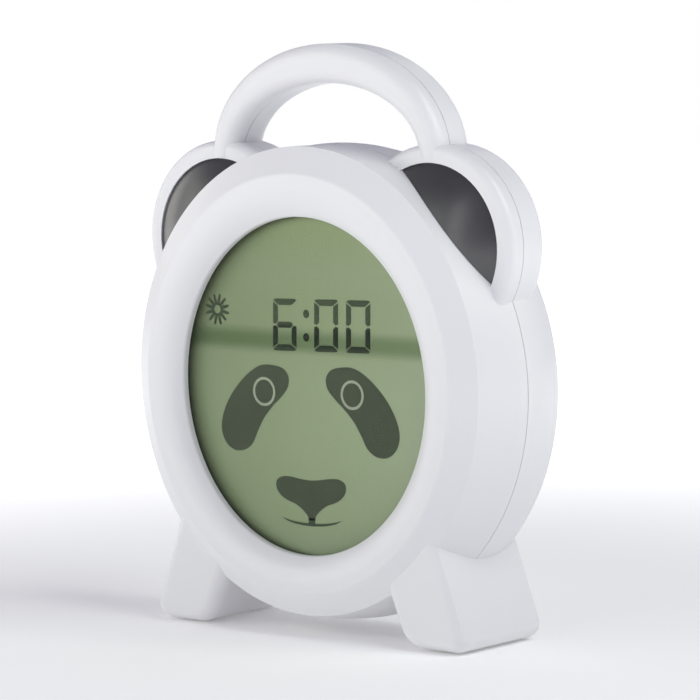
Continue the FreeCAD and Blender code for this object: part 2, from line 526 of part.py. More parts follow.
def screw(head_at, direction, shank_r, length, head_r, head_h, slot=True):
    """Pan-head screw: head_at is the seat under the head, direction points along the shank."""
    d = V(*direction)
    s = Part.makeCylinder(shank_r, length, V(*head_at), d)
    back = V(head_at[0] - d.x * head_h, head_at[1] - d.y * head_h, head_at[2] - d.z * head_h)
    h = Part.makeCylinder(head_r, head_h, back, d)
    e = [k for k in h.Edges if isinstance(k.Curve, Part.Circle) and k.Curve.Center.distanceToPoint(back) < 1e-6]
    h = h.makeFillet(min(0.45, head_h * 0.45), e)
    tip = Part.makeCone(shank_r, shank_r * 0.35, shank_r * 1.2, V(head_at[0] + d.x * length, head_at[1] + d.y * length, head_at[2] + d.z * length), d)
    out = fuse(s, h, tip)
    if slot:
        up = V(0, 0, 1) if abs(d.z) < 0.9 else V(1, 0, 0)
        side = d.cross(up)
        side.normalize()
        up = side.cross(d)
        for a, b in ((side, up), (up, side)):
            w, l, depth = 0.22 * head_r, 0.62 * head_r, head_h * 0.55
            p0 = back - a * l - b * w - d * 0.1
            pts = [p0, p0 + a * (2 * l), p0 + a * (2 * l) + b * (2 * w), p0 + b * (2 * w)]
            out = out.cut(Part.Face(Part.makePolygon(pts + [pts[0]])).extrude(d * (depth + 0.1)))
    return out


foot_screws = []
for s in (-1, 1):
    for y in FOOT_SCREW_Y:
        foot_screws.append(screw((s * 71.05 * math.cos(FOOT_A), y, 71.05 * math.sin(FOOT_A)), (s * math.cos(FOOT_A), 0, math.sin(FOOT_A)), 1.0, 9.5, 2.3, 1.5))
clear = [Part.makeCylinder(1.25, 8.0, V(s * 68.0 * math.cos(FOOT_A), y, 68.0 * math.sin(FOOT_A)), V(s * math.cos(FOOT_A), 0, math.sin(FOOT_A))) for s in (-1, 1) for y in FOOT_SCREW_Y]
seat = [Part.makeCylinder(3.2, 5.0, V(s * 66.05 * math.cos(FOOT_A), y, 66.05 * math.sin(FOOT_A)), V(s * math.cos(FOOT_A), 0, math.sin(FOOT_A))) for s in (-1, 1) for y in FOOT_SCREW_Y]
front_casing = cut(front_casing, *(clear + seat))
rear_casing = cut(rear_casing, *(clear + seat))

# ---------------------------------------------------------------- display stack
display_lens = ellipse_prism(51.7, 55.6, 0, LENS_Y, LENS_Y + LENS_T)
lcd_panel = octagon(LCD_X, LCD_Z, LCD_SUM, LCD_Y, LCD_Y + LCD_T)
lg_y = LCD_Y + LCD_T + 0.1
light_guide = octagon(46.0, 46.5, 72.0, lg_y, lg_y + 3.0)
reflector_sheet = octagon(46.0, 46.5, 72.0, lg_y + 3.02, lg_y + 3.22)
fr_y = lg_y + 3.3
lcd_frame = cut(octagon(LCD_X, LCD_Z, LCD_SUM, LCD_Y + LCD_T + 0.05, fr_y + 1.5), octagon(47.9, 48.0, 74.0, 0, fr_y))
lcd_frame = cut(lcd_frame, box(-23.5, 23.5, 0, 20, 48.6, 51.6), box(-23.5, 23.5, 0, 20, -51.6, -48.6),
                box(-30, 30, fr_y - 1, 20, -30, 30))
for x, z in FRAME_SCREWS:
    lug = cyl_y(3.0, 8.25, fr_y + 1.5, x, z)
    ux, uz = -x / math.hypot(x, z), -z / math.hypot(x, z)
    mid = (x + ux * 3.2, z + uz * 3.2)
    arm = Part.makeBox(6.0, fr_y + 1.5 - 8.25, 4.4, V(-3.0, 8.25, -2.2))
    arm.rotate(V(0, 0, 0), V(0, 1, 0), -math.degrees(math.atan2(uz, ux)))
    arm.translate(V(mid[0], 0, mid[1]))
    lcd_frame = fuse(lcd_frame, lug, arm)
lcd_frame = cut(lcd_frame, *[cyl_y(1.15, 5, 15, x, z) for x, z in FRAME_SCREWS])
lcd_frame = cut(lcd_frame, octagon(47.9, 48.0, 74.0, 0, fr_y))
PCB_Y = fr_y + 3.5
PCB_POSTS = [(-27.0, 40.0), (27.0, 40.0), (-27.0, -40.0), (27.0, -40.0)]
for x, z in PCB_POSTS:
    lcd_frame = fuse(lcd_frame, cyl_y(2.2, fr_y + 0.6, PCB_Y, x, z))
lcd_frame = cut(lcd_frame, *[cyl_y(0.9, fr_y + 0.4, 20, x, z) for x, z in PCB_POSTS])
lcd_frame_screws = [screw((x, fr_y + 1.55, z), (0, -1, 0), 1.0, 3.7, 2.0, 1.3) for x, z in FRAME_SCREWS]
zebra_strips = [box(-23.0, 23.0, LCD_Y + LCD_T + 0.02, PCB_Y - 0.02, s * 50.1 - 1.2, s * 50.1 + 1.2) for s in (-1, 1)]
backlight_leds = [box(s * 46.9 - 0.75, s * 46.9 + 0.75, lg_y + 0.3, lg_y + 2.7, z - 1.8, z + 1.8) for s in (-1, 1) for z in (-15, 0, 15)]
main_board = rounded_box(-30, 30, PCB_Y, PCB_Y + 1.6, -52.5, 52.5, 2.0)
main_board = cut(main_board, *[cyl_y(1.15, PCB_Y - 1, PCB_Y + 3, x, z) for x, z in PCB_POSTS])
main_board_screws = [screw((x, PCB_Y + 1.62, z), (0, -1, 0), 0.85, 3.3, 1.9, 1.2) for x, z in PCB_POSTS]
chip = cyl_y(8.0, PCB_Y + 1.6, PCB_Y + 3.1, 4.0, 14.0)
chip = chip.makeFillet(1.1, [e for e in chip.Edges if isinstance(e.Curve, Part.Circle) and e.Curve.Center.y > PCB_Y + 3.0])
controller_chip = chip
caps = [fuse(Part.makeCylinder(2.5, 5.4, V(x, PCB_Y + 4.3, z), V(0, 0, 1)), box(x - 1.5, x + 1.5, PCB_Y + 1.6, PCB_Y + 2.6, z + 0.4, z + 1.4)) for x, z in ((-22, 4), (-14, 4))]
crystal = rounded_box(-20, -10, PCB_Y + 1.6, PCB_Y + 4.4, 22, 25.4, 1.2)
coil = cyl_y(3.6, PCB_Y + 1.6, PCB_Y + 4.6, 20, 1.0)
header = box(10, 24, PCB_Y + 1.6, PCB_Y + 4.4, 28, 33)
board_parts = caps + [crystal, coil, header]

# ---------------------------------------------------------------- rear electronics
KEY_Y = 25.5
key_board = rounded_box(-50.5, 47.0, KEY_Y, KEY_Y + 1.6, BTN_Z - 7.5, BTN_Z + 7.5, 1.5)
key_board = cut(key_board, *[cyl_y(1.15, KEY_Y - 1, KEY_Y + 3, x, z) for x, z in KEY_POSTS])
key_board_screws = [screw((x, KEY_Y - 0.02, z), (0, 1, 0), 0.85, 6.2, 1.9, 1.2) for x, z in KEY_POSTS]
key_switches = []
for x in BTN_X.values():
    b = rounded_box(x - 3, x + 3, KEY_Y + 1.6, KEY_Y + 5.1, BTN_Z - 3, BTN_Z + 3, 0.5)
    key_switches.append(fuse(b, cyl_y(1.7, KEY_Y + 5.0, KEY_Y + 5.9, x, BTN_Z)))
sw = rounded_box(SW_X - 3.5, SW_X + SW_TRAVEL + 3.5, KEY_Y + 1.6, KEY_Y + 5.6, BTN_Z - 3.2, BTN_Z + 3.2, 0.5)
lock_switch_body = cut(sw, box(SW_X - 1.8, SW_X + SW_TRAVEL + 1.8, KEY_Y + 3.0, KEY_Y + 7, BTN_Z - 1.3, BTN_Z + 1.3))
knob = fuse(box(SW_X - 1.3, SW_X + 1.3, KEY_Y + 3.3, REAR - 0.5, BTN_Z - 1.0, BTN_Z + 1.0),
            rounded_box(SW_X - 4.2, SW_X + 4.2, REAR - 0.75, REAR + 0.55, BTN_Z - 3.0, BTN_Z + 3.0, 2.6))
top_edges = [e for e in knob.Edges if all(abs(v.Point.y - (REAR + 0.55)) < 1e-6 for v in e.Vertexes)]
knob = knob.makeFillet(0.35, top_edges)
rib = [box(SW_X + dx - 0.3, SW_X + dx + 0.3, REAR + 0.4, REAR + 0.95, BTN_Z - 1.8, BTN_Z + 1.8) for dx in (-1.5, 0, 1.5)]
lock_slider = fuse(knob, *rib)


def button(x):
    cap = cyl_y(BTN_R, REAR - WALL - 0.9, REAR + PROUD, x, BTN_Z)
    top = [e for e in cap.Edges if isinstance(e.Curve, Part.Circle) and abs(e.Curve.Center.y - (REAR + PROUD)) < 1e-6]
    cap = cap.makeFillet(0.9, top)
    cap = cap.cut(Part.makeSphere(30.0, V(x, REAR + PROUD + 29.6, BTN_Z)))
    flange = cyl_y(5.9, REAR - WALL - 1.0, REAR - WALL - 0.1, x, BTN_Z)
    stem = cyl_y(1.6, KEY_Y + 5.9 + BTN_TRAVEL + 0.15, REAR - WALL - 0.5, x, BTN_Z)
    return fuse(cap, flange, stem)


buttons = {n: button(x) for n, x in BTN_X.items()}

# sound unit behind the grille, held by a clamp bar with two screws
spk = revolve_y([(0, 29.8), (8.0, 29.8), (8.0, 31.2), (15.6, 32.4), (SPK_R, 32.8), (SPK_R, 34.6), (14.5, 34.6), (6.0, 33.2), (0, 33.6)], 0, SPK_Z)
speaker = spk
clamp = fuse(box(-23.6, 23.6, 28.2, 29.7, SPK_Z - 3.0, SPK_Z + 3.0), box(-23.4, -18.6, 29.0, 30.5, SPK_Z - 3.0, SPK_Z + 3.0), box(18.6, 23.4, 29.0, 30.5, SPK_Z - 3.0, SPK_Z + 3.0))
speaker_clamp = cut(clamp, *[cyl_y(1.15, 27, 31, x, z) for x, z in SPK_POSTS])
speaker_screws = [screw((x, 28.18, z), (0, 1, 0), 0.85, 5.6, 1.9, 1.2) for x, z in SPK_POSTS]

# power socket: metal shell with a tongue, on a small board
s_out = rounded_box(SOCK_X - 4.47, SOCK_X + 4.47, REAR - 8.4, REAR - 1.2, SOCK_Z - 1.6, SOCK_Z + 1.6, 1.55)
s_in = rounded_box(SOCK_X - 4.17, SOCK_X + 4.17, REAR - 7.6, REAR, SOCK_Z - 1.3, SOCK_Z + 1.3, 1.25)
power_socket = fuse(cut(s_out, s_in), box(SOCK_X - 3.3, SOCK_X + 3.3, REAR - 8.0, REAR - 2.2, SOCK_Z - 0.35, SOCK_Z + 0.35))
power_board = cut(rounded_box(SOCK_X - 12.0, SOCK_X + 11.0, 28.3, 28.98, SOCK_Z - 6.0, SOCK_Z + 6.0, 1.0),
                  *[cyl_y(0.95, 27, 31, x, z) for x, z in POW_POSTS])
power_board = fuse(power_board, *[cut(box(x - 1.5, x + 1.5, 28.9, 30.98, z - 1.8, z + 1.8), cyl_y(0.95, 27, 32, x, z)) for x, z in POW_POSTS])
power_board_screws = [screw((x, 28.28, z), (0, 1, 0), 0.7, 5.4, 1.6, 1.0) for x, z in POW_POSTS]

# cells and their contacts
battery_cells = []
for i, z in enumerate(CELL_Z):
    s = 1 if i % 2 == 0 else -1
    body = cyl_x(CELL_R, -CELL_L / 2 + 0.6, CELL_L / 2 - 1.4, CELL_Y, z)
    es = [e for e in body.Edges if isinstance(e.Curve, Part.Circle)]
    body = body.makeFillet(0.7, es)
    tip = cyl_x(2.7, CELL_L / 2 - 1.6, CELL_L / 2, CELL_Y, z)
    neg = cyl_x(5.0, -CELL_L / 2, -CELL_L / 2 + 0.8, CELL_Y, z)
    c = fuse(body, tip, neg)
    if s < 0:
        c = mirror_x(c)
    battery_cells.append(c)
battery_contacts, battery_springs = [], []
for i, z in enumerate(CELL_Z):
    s = 1 if i % 2 == 0 else -1
    # plate and pip at the positive end, plate and coil at the negative end
    px = s * (BAY_X - 0.25)
    plate = box(px - 0.25, px + 0.25, BAY_Y + 1.2, BAY_Y + 13.4, z - 5.2, z + 5.2)
    pip_len = BAY_X - 0.5 - CELL_L / 2 - 0.05
    pip = Part.makeCone(3.4, 2.2, pip_len, V(s * (BAY_X - 0.5), CELL_Y, z), V(-s, 0, 0))
    battery_contacts.append(fuse(plate, pip))
    nx = -s * (BAY_X - 0.25)
    nplate = box(nx - 0.25, nx + 0.25, BAY_Y + 1.2, BAY_Y + 13.4, z - 5.2, z + 5.2)
    # flat-wire spring: four rings, each joined to the next by a short link
    rings, links, ring_t = [], [], 0.7
    x_in, x_out = CELL_L / 2 + 0.08, BAY_X - 0.57
    gap = (x_out - x_in - 4 * ring_t) / 3.0
    for k in range(4):
        a0 = x_in + k * (ring_t + gap)
        lo, hi = (a0, a0 + ring_t) if s < 0 else (-a0 - ring_t, -a0)
        rings.append(cyl_x(4.0, lo, hi, CELL_Y, z).cut(cyl_x(3.2, lo - 1, hi + 1, CELL_Y, z)))
        if k < 3:
            b0, b1 = a0 + ring_t - 0.2, a0 + ring_t + gap + 0.2
            lo, hi = (b0, b1) if s < 0 else (-b1, -b0)
            up = 1 if k % 2 == 0 else -1
            z0, z1 = sorted((z + up * 3.25, z + up * 3.85))
            links.append(box(lo, hi, CELL_Y - 0.5, CELL_Y + 0.5, z0, z1))
    sp = fuse(rings[0], *(rings[1:] + links))
    battery_contacts.append(nplate)
    battery_springs.append(sp)

casing_screws = [screw((x, REAR - 8.98, z), (0, -1, 0), 1.15, 20.4, 2.8, 2.0) for x, z in CASE_SCREWS]

# flat cable between the two boards
p1 = [V(17.0, PCB_Y + 4.4 + 0.02, 30.5), V(17.0, PCB_Y + 7.0, 30.5), V(17.0, KEY_Y - 2.6, 16.0), V(17.0, KEY_Y - 0.02, 16.0)]


def strip(path, half_w, t):
    """Thin flat strip that follows a path in the Y-Z plane."""
    upper, lower = [], []
    for i, p in enumerate(path):
        a = path[max(i - 1, 0)]
        b = path[min(i + 1, len(path) - 1)]
        d = b - a
        n = V(0, -d.z, d.y)
        n.normalize()
        upper.append(p + n * (t / 2))
        lower.append(p - n * (t / 2))
    poly = [V(path[0].x - half_w, q.y, q.z) for q in upper + lower[::-1]]
    return Part.Face(Part.makePolygon(poly + [poly[0]])).extrude(V(2 * half_w, 0, 0))


ribbon_cable = strip(p1, 5.0, 0.5)

# ---------------------------------------------------------------- export
NODES = {
    "front_casing": front_casing, "rear_casing": rear_casing,
    "left_ear_insert": left_ear_insert, "right_ear_insert": right_ear_insert,
    "left_foot": left_foot, "right_foot": right_foot, "foot_pads": foot_pads, "foot_screws": foot_screws,
    "display_lens": display_lens, "lcd_panel": lcd_panel, "light_guide": light_guide, "reflector_sheet": reflector_sheet,
    "lcd_frame": lcd_frame, "lcd_frame_screws": lcd_frame_screws, "zebra_strips": zebra_strips, "backlight_leds": backlight_leds,
    "main_board": main_board, "main_board_screws": main_board_screws, "controller_chip": controller_chip, "board_parts": board_parts,
    "key_board": key_board, "key_board_screws": key_board_screws, "key_switches": key_switches, "lock_switch_body": lock_switch_body,
    "lock_slider": lock_slider, "speaker": speaker, "speaker_clamp": speaker_clamp, "speaker_screws": speaker_screws,
    "power_socket": power_socket, "power_board": power_board, "power_board_screws": power_board_screws,
    "battery_door": battery_door, "door_foam": door_foam, "battery_cells": battery_cells, "battery_contacts": battery_contacts,
    "battery_springs": battery_springs, "casing_screws": casing_screws, "ribbon_cable": ribbon_cable,
}
NODES.update(buttons)

for name, shape in NODES.items():
    s = Part.makeCompound(shape) if isinstance(shape, list) else shape
    s = s.copy()
    if not isinstance(shape, list) and len(s.Solids) != 1:
        print("CHECK", name, "has", len(s.Solids), "solids", [round(k.Volume, 2) for k in s.Solids])
        if len(s.Solids) > 1:
            s = max(s.Solids, key=lambda k: k.Volume)
    if s.ShapeType != "Compound" and s.ShapeType != "Solid":
        s = s.Solids[0]
    elif s.ShapeType == "Compound" and not isinstance(shape, list):
        s = s.Solids[0]
    s.translate(V(0, Y_OFF, Z_OFF))
    if not s.isValid():
        print("CHECK", name, "is not valid")
    s.exportStep(os.path.join("parts", name + ".step"))
print("nodes", len(NODES), "Y_OFF", Y_OFF, "Z_OFF", Z_OFF)
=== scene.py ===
import json
import math

import bmesh
import bpy
from mathutils import Matrix, Vector


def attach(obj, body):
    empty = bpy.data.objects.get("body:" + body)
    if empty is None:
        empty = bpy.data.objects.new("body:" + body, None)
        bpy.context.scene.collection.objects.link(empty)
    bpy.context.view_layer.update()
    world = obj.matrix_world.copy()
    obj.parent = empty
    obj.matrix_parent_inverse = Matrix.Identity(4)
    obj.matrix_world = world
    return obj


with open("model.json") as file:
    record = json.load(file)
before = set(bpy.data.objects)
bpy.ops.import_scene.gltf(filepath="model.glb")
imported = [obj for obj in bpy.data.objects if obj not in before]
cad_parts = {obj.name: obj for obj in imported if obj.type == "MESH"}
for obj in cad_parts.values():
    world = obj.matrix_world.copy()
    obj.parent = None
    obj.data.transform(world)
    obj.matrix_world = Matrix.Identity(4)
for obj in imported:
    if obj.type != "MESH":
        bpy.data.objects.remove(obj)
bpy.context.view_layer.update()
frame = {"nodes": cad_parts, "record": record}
NODES = frame["nodes"]

# layout frame (mm): x across, yb back from the window edge, z from the drum centre
Y_OFF, Z_OFF = -17.0, 77.3


def P(x, yb, z):
    return Vector((x / 1000.0, (yb + Y_OFF) / 1000.0, (z + Z_OFF) / 1000.0))


# ------------------------------------------------------------------ materials
class Mat:
    """A node material: a Principled surface and small helpers to wire procedural detail into it."""

    def __init__(self, name, **sockets):
        self.mat = bpy.data.materials.new(name)
        self.mat.use_nodes = True
        self.nt = self.mat.node_tree
        self.b = self.nt.nodes["Principled BSDF"]
        for k, v in sockets.items():
            self.b.inputs[k.replace("_", " ")].default_value = v

    def node(self, kind, **props):
        n = self.nt.nodes.new(kind)
        for k, v in props.items():
            setattr(n, k, v)
        return n

    def link(self, a, b):
        self.nt.links.new(a, b)

    def coords(self, scale=(1, 1, 1), loc=(0, 0, 0)):
        t = self.node("ShaderNodeTexCoord")
        m = self.node("ShaderNodeMapping")
        m.inputs["Scale"].default_value = scale
        m.inputs["Location"].default_value = loc
        self.link(t.outputs["Object"], m.inputs["Vector"])
        return m.outputs["Vector"]

    def noise(self, scale, detail=2.0, rough=0.5, vec=None, dist=0.0):
        n = self.node("ShaderNodeTexNoise")
        n.inputs["Scale"].default_value = scale
        n.inputs["Detail"].default_value = detail
        n.inputs["Roughness"].default_value = rough
        n.inputs["Distortion"].default_value = dist
        self.link(vec or self.coords(), n.inputs["Vector"])
        return n.outputs["Fac"]

    def ramp(self, fac, stops, interp="LINEAR"):
        r = self.node("ShaderNodeValToRGB")
        r.color_ramp.interpolation = interp
        els = r.color_ramp.elements
        while len(els) < len(stops):
            els.new(0.5)
        for e, (p, c) in zip(els, stops):
            e.position = p
            e.color = c if len(c) == 4 else (*c, 1.0)
        self.link(fac, r.inputs["Fac"])
        return r.outputs["Color"]

    def span(self, fac, a, b, lo=0.0, hi=1.0, clamp=True, smooth=False):
        m = self.node("ShaderNodeMapRange")
        m.clamp = clamp
        if smooth:
            m.interpolation_type = "SMOOTHSTEP"
        for k, v in (("From Min", lo), ("From Max", hi), ("To Min", a), ("To Max", b)):
            m.inputs[k].default_value = v
        self.link(fac, m.inputs["Value"])
        return m.outputs["Result"]

    def math(self, op, a, b=None, c=None):
        m = self.node("ShaderNodeMath", operation=op)
        for i, v in enumerate((a, b, c)):
            if v is None:
                continue
            if isinstance(v, (int, float)):
                m.inputs[i].default_value = v
            else:
                self.link(v, m.inputs[i])
        return m.outputs[0]

    def mix(self, fac, a, b, mode="MIX"):
        m = self.node("ShaderNodeMix", data_type="RGBA", blend_type=mode)
        if isinstance(fac, (int, float)):
            m.inputs[0].default_value = fac
        else:
            self.link(fac, m.inputs[0])
        for i, v in ((6, a), (7, b)):
            if isinstance(v, tuple):
                m.inputs[i].default_value = v if len(v) == 4 else (*v, 1.0)
            else:
                self.link(v, m.inputs[i])
        return m.outputs[2]

    def bump(self, height, strength, dist):
        n = self.node("ShaderNodeBump")
        n.inputs["Strength"].default_value = strength
        n.inputs["Distance"].default_value = dist
        self.link(height, n.inputs["Height"])
        self.link(n.outputs["Normal"], self.b.inputs["Normal"])
        return n


def variegate(m, color, amount, scale, rough, rough_span, bump=None):
    """Base colour with slight cloudy variation, roughness that varies at two scales, and a fine bump."""
    cloud = m.noise(scale, 3.0, 0.55)
    dark = tuple(c * (1.0 - amount) for c in color)
    lite = tuple(min(1.0, c * (1.0 + amount)) for c in color)
    m.link(m.ramp(cloud, [(0.3, dark), (0.7, lite)]), m.b.inputs["Base Color"])
    fine = m.noise(scale * 9.0, 4.0, 0.6)
    m.link(m.span(fine, rough - rough_span, rough + rough_span, 0.3, 0.7), m.b.inputs["Roughness"])
    if bump:
        m.bump(m.noise(bump[0], 3.0, 0.6), bump[1], bump[2])
    return m.mat


def sm(c):
    """Colour typed as the display value 0-255, turned to scene-linear."""
    return tuple(((v / 255.0) / 12.92 if v / 255.0 <= 0.04045 else ((v / 255.0 + 0.055) / 1.055) ** 2.4) for v in c)


def white_shell():
    m = Mat("white_shell", IOR=1.46, Coat_Weight=0.12, Coat_Roughness=0.16)
    return variegate(m, (0.78, 0.78, 0.8), 0.006, 22.0, 0.36, 0.03, (900.0, 0.05, 0.0001))


def ear_gloss():
    m = Mat("ear_gloss", IOR=1.58, Coat_Weight=0.25, Coat_Roughness=0.22)
    m.b.inputs["Specular IOR Level"].default_value = 0.75
    return variegate(m, (0.024, 0.024, 0.026), 0.12, 60.0, 0.36, 0.03, (700.0, 0.03, 0.0001))


def rubber(name, color, rough=0.78):
    m = Mat(name)
    m.b.inputs["Specular IOR Level"].default_value = 0.35
    return variegate(m, color, 0.08, 150.0, rough, 0.07, (2600.0, 0.35, 0.00012))


def metal(name, color, rough):
    m = Mat(name, Metallic=1.0)
    return variegate(m, color, 0.07, 300.0, rough, 0.09, (1400.0, 0.2, 0.00005))


def matt_plastic(name, color, rough=0.5, grain=1500.0):
    m = Mat(name, IOR=1.46)
    return variegate(m, color, 0.04, 120.0, rough, 0.06, (grain, 0.22, 0.0001))


def board():
    m = Mat("board_green", IOR=1.5, Coat_Weight=0.3, Coat_Roughness=0.2)
    brick = m.node("ShaderNodeTexBrick")
    brick.inputs["Scale"].default_value = 120.0
    brick.inputs["Mortar Size"].default_value = 0.06
    brick.inputs["Color1"].default_value = (0.02, 0.16, 0.06, 1)
    brick.inputs["Color2"].default_value = (0.018, 0.14, 0.055, 1)
    brick.inputs["Mortar"].default_value = (0.04, 0.24, 0.1, 1)
    m.link(m.coords((1, 1, 1)), brick.inputs["Vector"])
    m.link(brick.outputs["Color"], m.b.inputs["Base Color"])
    m.link(m.span(m.noise(400.0), 0.3, 0.45), m.b.inputs["Roughness"])
    m.bump(brick.outputs["Fac"], 0.2, 0.00005)
    return m.mat


def clear(name, tint, rough, alpha):
    m = Mat(name, IOR=1.49, Alpha=alpha)
    m.b.inputs["Base Color"].default_value = (*tint, 1)
    m.link(m.ramp(m.noise(90.0, 2.0), [(0.3, tuple(c * 0.97 for c in tint)), (0.7, tint)]), m.b.inputs["Base Color"])
    m.link(m.span(m.noise(300.0), rough * 0.7, rough * 1.3), m.b.inputs["Roughness"])
    return m.mat


def lcd_green():
    """Green display cell: soft gradient, a darker band across the upper half that is a painted dark reflection, a
    painted sheen towards the right end, and dimmer towards the left edge, partly painted shade from the window rim and
    partly the cell's own dimming.
    """
    m = Mat("lcd_green", IOR=1.3)
    m.b.inputs["Specular IOR Level"].default_value = 0.2
    tc = m.node("ShaderNodeTexCoord")
    sep = m.node("ShaderNodeSeparateXYZ")
    m.link(tc.outputs["Object"], sep.inputs[0])
    x, z = sep.outputs[0], sep.outputs[2]
    zz = m.math("ADD", z, m.span(m.noise(26.0, 2.0), -0.0003, 0.0003))
    up = m.ramp(m.span(zz, 0.0, 1.0, (Z_OFF - 54) / 1000.0, (Z_OFF + 54) / 1000.0),
                [(0.0, sm((134, 150, 118))), (0.13, sm((143, 158, 122))), (0.31, sm((148, 164, 127))), (0.5, sm((148, 164, 127))),
                 (0.575, sm((146, 161, 124))), (0.69, sm((141, 156, 117))), (0.83, sm((142, 156, 119))), (0.95, sm((139, 153, 111)))])
    # the cell is a little brighter and cooler towards its right end: a painted sheen
    painted_sheen_gain = m.ramp(m.span(x, 0.0, 1.0, -0.048, 0.048),
                  [(0.0, (0.8, 0.8, 0.79)), (0.2, (0.86, 0.86, 0.85)), (0.5, (1.0, 1.0, 1.0)), (0.83, (1.115, 1.09, 1.16)), (1.0, (1.2, 1.14, 1.3))])
    up = m.mix(1.0, up, painted_sheen_gain, "MULTIPLY")
    # darker band across the upper half, soft on both edges: a painted dark reflection, weaker towards the right
    b1 = m.span(zz, 0.0, 1.0, (Z_OFF + 8.6) / 1000.0, (Z_OFF + 12.9) / 1000.0, smooth=True)
    b2 = m.span(zz, 1.0, 0.0, (Z_OFF + 14.2) / 1000.0, (Z_OFF + 18.8) / 1000.0, smooth=True)
    painted_reflection_band = m.math("MULTIPLY", m.math("MULTIPLY", b1, b2), m.span(x, 0.92, 0.8, -0.03, 0.045))
    green = m.mix(painted_reflection_band, up, m.mix(1.0, up, (0.37, 0.48, 0.33), "MULTIPLY"))
    # painted shade along the left edge of the oval, partly the window rim's shadow and partly the cell's own dimming:
    # distance in from that edge
    rel = m.math("MULTIPLY", m.math("SUBTRACT", z, Z_OFF / 1000.0), 1.0 / 0.052)
    edge = m.math("MULTIPLY", m.math("SQRT", m.math("MAXIMUM", m.math("SUBTRACT", 1.0, m.math("MULTIPLY", rel, rel)), 0.0)), 0.0481)
    inset = m.math("ADD", x, edge)
    shade = m.ramp(m.span(inset, 0.0, 1.0, -0.001, 0.012),
                   [(0.0, (0.24, 0.255, 0.225)), (0.16, (0.36, 0.38, 0.33)), (0.38, (0.66, 0.68, 0.62)), (0.6, (0.88, 0.9, 0.87)), (0.85, (0.98, 0.985, 0.98)), (1.0, (1.0, 1.0, 1.0))])
    green = m.mix(1.0, green, shade, "MULTIPLY")
    cloud = m.noise(40.0, 3.0)
    green = m.mix(m.span(cloud, 0.0, 0.03), green, sm((164, 176, 146)))
    m.link(green, m.b.inputs["Base Color"])
    m.link(m.span(m.noise(500.0), 0.44, 0.52), m.b.inputs["Roughness"])
    return m.mat


SLOT = {
    "white_shell": white_shell(),
    "ear_gloss": ear_gloss(),
    "rubber_pad": rubber("rubber_pad", (0.09, 0.09, 0.095)),
    "screw_steel": metal("screw_steel", (0.55, 0.55, 0.57), 0.33),
    "lens_clear": clear("lens_clear", (0.36, 0.41, 0.33), 0.08, 0.03),
    "lcd_green": lcd_green(),
    "acrylic_guide": clear("acrylic_guide", (0.9, 0.95, 0.9), 0.1, 0.5),
    "white_sheet": matt_plastic("white_sheet", (0.85, 0.85, 0.85), 0.6),
    "grey_frame": matt_plastic("grey_frame", (0.27, 0.28, 0.29), 0.5),
    "strip_rubber": rubber("strip_rubber", (0.03, 0.03, 0.035)),
    "led_body": matt_plastic("led_body", (0.8, 0.72, 0.4), 0.3),
    "board_green": board(),
    "chip_black": matt_plastic("chip_black", (0.012, 0.012, 0.013), 0.3),
    "component_dark": matt_plastic("component_dark", (0.03, 0.03, 0.033), 0.42),
    "button_grey": matt_plastic("button_grey", (0.19, 0.195, 0.21), 0.46),
    "speaker_dark": metal("speaker_dark", (0.12, 0.12, 0.13), 0.5),
    "socket_metal": metal("socket_metal", (0.62, 0.62, 0.64), 0.28),
    "foam_dark": rubber("foam_dark", (0.02, 0.02, 0.02), 0.9),
    "cell_wrap": metal("cell_wrap", (0.22, 0.25, 0.3), 0.35),
    "contact_metal": metal("contact_metal", (0.7, 0.68, 0.62), 0.25),
    "cable_grey": matt_plastic("cable_grey", (0.5, 0.5, 0.52), 0.45),
}
INK = None
for part in frame["record"]["subparts"]:
    node = NODES[part["node"]]
    node.data.materials.clear()
    node.data.materials.append(SLOT[part["material_slot"]])


# ------------------------------------------------------------------ display graphics
def ink_material(name, color, dark):
    """Dark display segments, deeper where the painted reflection band crosses them."""
    m = Mat(name, IOR=1.3)
    m.b.inputs["Specular IOR Level"].default_value = 0.1
    tc = m.node("ShaderNodeTexCoord")
    sep = m.node("ShaderNodeSeparateXYZ")
    m.link(tc.outputs["Object"], sep.inputs[0])
    z = sep.outputs[2]
    b1 = m.span(z, 0.35, 1.0, (Z_OFF + 10.6) / 1000.0, (Z_OFF + 13.0) / 1000.0, smooth=True)
    b2 = m.span(z, 1.0, 0.0, (Z_OFF + 17.6) / 1000.0, (Z_OFF + 19.6) / 1000.0, smooth=True)
    painted_reflection_band = m.math("MULTIPLY", b1, b2)
    cloud = m.ramp(m.noise(70.0, 2.0), [(0.3, tuple(c * 0.94 for c in color)), (0.7, tuple(c * 1.06 for c in color))])
    m.link(m.mix(painted_reflection_band, cloud, dark) if dark else cloud, m.b.inputs["Base Color"])
    m.link(m.span(m.noise(600.0), 0.4, 0.52), m.b.inputs["Roughness"])
    return m.mat


INK_FACE = ink_material("ink_face", sm((66, 75, 58)), None)
# the second colour is the painted dark reflection on the digits where the band crosses them
INK_DIGIT = ink_material("ink_digit", sm((62, 72, 52)), sm((12, 26, 11)))
INK_RING = ink_material("ink_light", sm((160, 168, 146)), None)

LCD_FRONT = 2.0
INK_T = 0.03
INK_TILT = math.radians(1.35)     # the printed figures sit very slightly turned in the window


def tilt(x, z):
    c, s = math.cos(INK_TILT), math.sin(INK_TILT)
    return x * c - z * s, x * s + z * c


